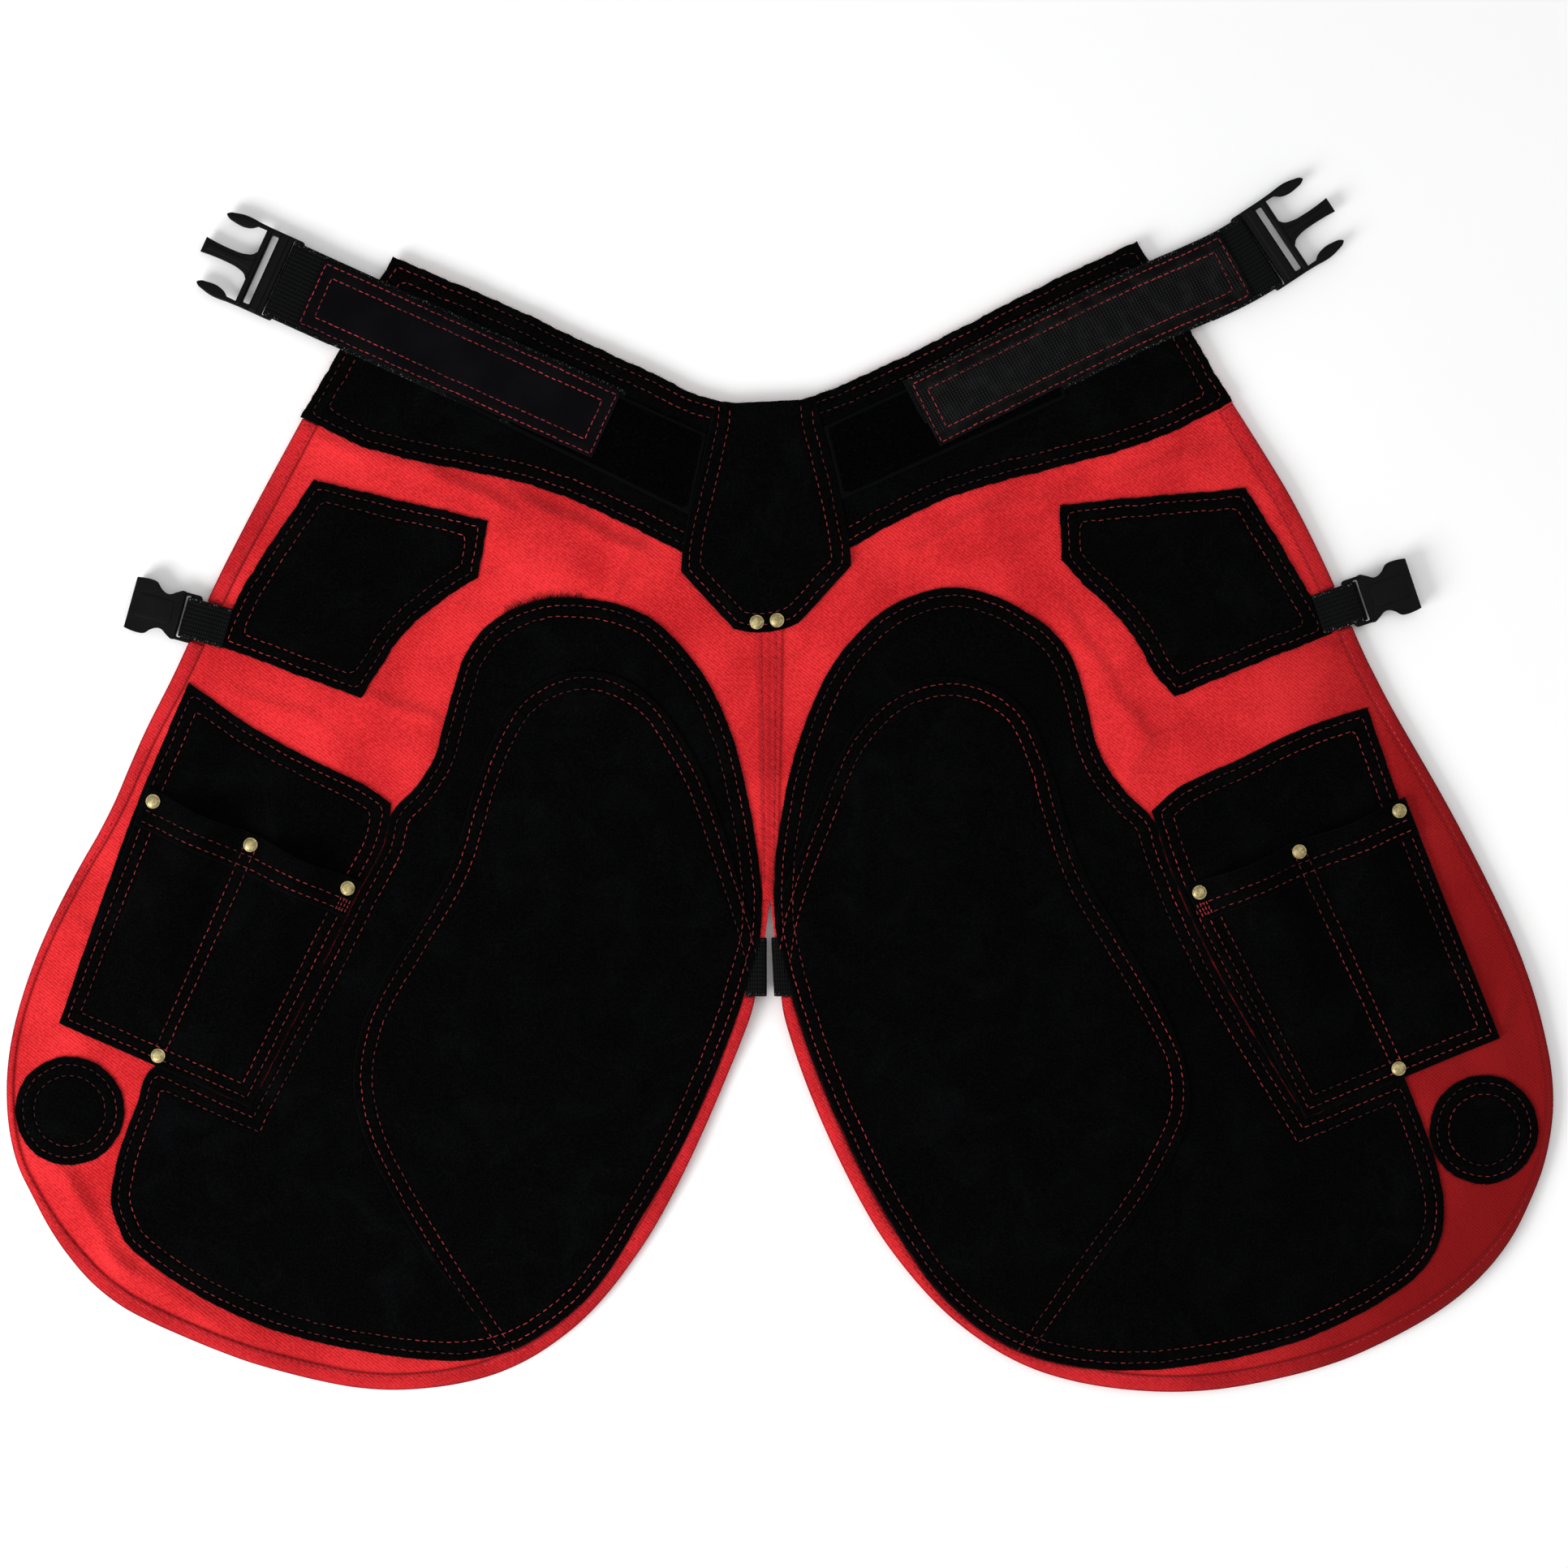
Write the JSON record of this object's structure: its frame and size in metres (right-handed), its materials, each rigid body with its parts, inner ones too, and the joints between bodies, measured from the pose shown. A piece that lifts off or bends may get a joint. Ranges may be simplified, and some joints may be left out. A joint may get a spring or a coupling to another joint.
{
  "type": "farrier apron",
  "caption": "Two-legged farrier's apron laid flat: canvas legs with suede yoke, knee patches and tool pockets, belt straps and leg straps with side release buckles.",
  "frame": {"origin": "on the underside of the canvas at the centre seam, 225 mm below the middle of the waist edge, which is where the apron rests on the floor", "axes": "+X to the right and +Y up towards the waist, both as seen from the front, +Z out of the front face, away from the floor"},
  "size_m": [0.9516, 0.7462, 0.0217],
  "materials": {
    "canvas": "heavy woven canvas, matt",
    "hem": "folded canvas, matt",
    "suede": "napped suede, matt",
    "loop_tape": "brushed loop tape",
    "webbing": "ribbed webbing",
    "patch_leather": "smooth, slight sheen",
    "buckle_plastic": "moulded, satin",
    "rivet_brass": "aged brass, worn"
  },
  "bodies": {
    "root": {"belt_buckle_left": "buckle_plastic", "belt_buckle_right": "buckle_plastic", "belt_patch_left": "patch_leather", "belt_patch_right": "patch_leather", "belt_strap_left": "webbing", "belt_strap_right": "webbing", "canvas_left": "canvas", "canvas_right": "canvas", "centre_seam": "hem", "hem_1_left": "hem", "hem_1_right": "hem", "hem_2_left": "hem", "hem_2_right": "hem", "hip_patch_left": "suede", "hip_patch_right": "suede", "knee_patch_left": "suede", "knee_patch_right": "suede", "leg_buckle_left": "buckle_plastic", "leg_buckle_right": "buckle_plastic", "leg_pad_left": "suede", "leg_pad_right": "suede", "leg_strap_left": "webbing", "leg_strap_right": "webbing", "loop_tape_left": "loop_tape", "loop_tape_right": "loop_tape", "nail_patch_left": "suede", "nail_patch_right": "suede", "pocket_rivet_1_left": "rivet_brass", "pocket_rivet_1_right": "rivet_brass", "pocket_rivet_2_left": "rivet_brass", "pocket_rivet_2_right": "rivet_brass", "pocket_rivet_3_left": "rivet_brass", "pocket_rivet_3_right": "rivet_brass", "pocket_rivet_4_left": "rivet_brass", "pocket_rivet_4_right": "rivet_brass", "thigh_tab_left": "webbing", "thigh_tab_right": "webbing", "tongue": "suede", "tongue_rivet_left": "rivet_brass", "tongue_rivet_right": "rivet_brass", "tool_pocket_back_left": "suede", "tool_pocket_back_right": "suede", "tool_pocket_band_left": "suede", "tool_pocket_band_right": "suede", "tool_pocket_front_left": "suede", "tool_pocket_front_right": "suede", "yoke_left": "suede", "yoke_right": "suede"}
  },
  "joints": []
}
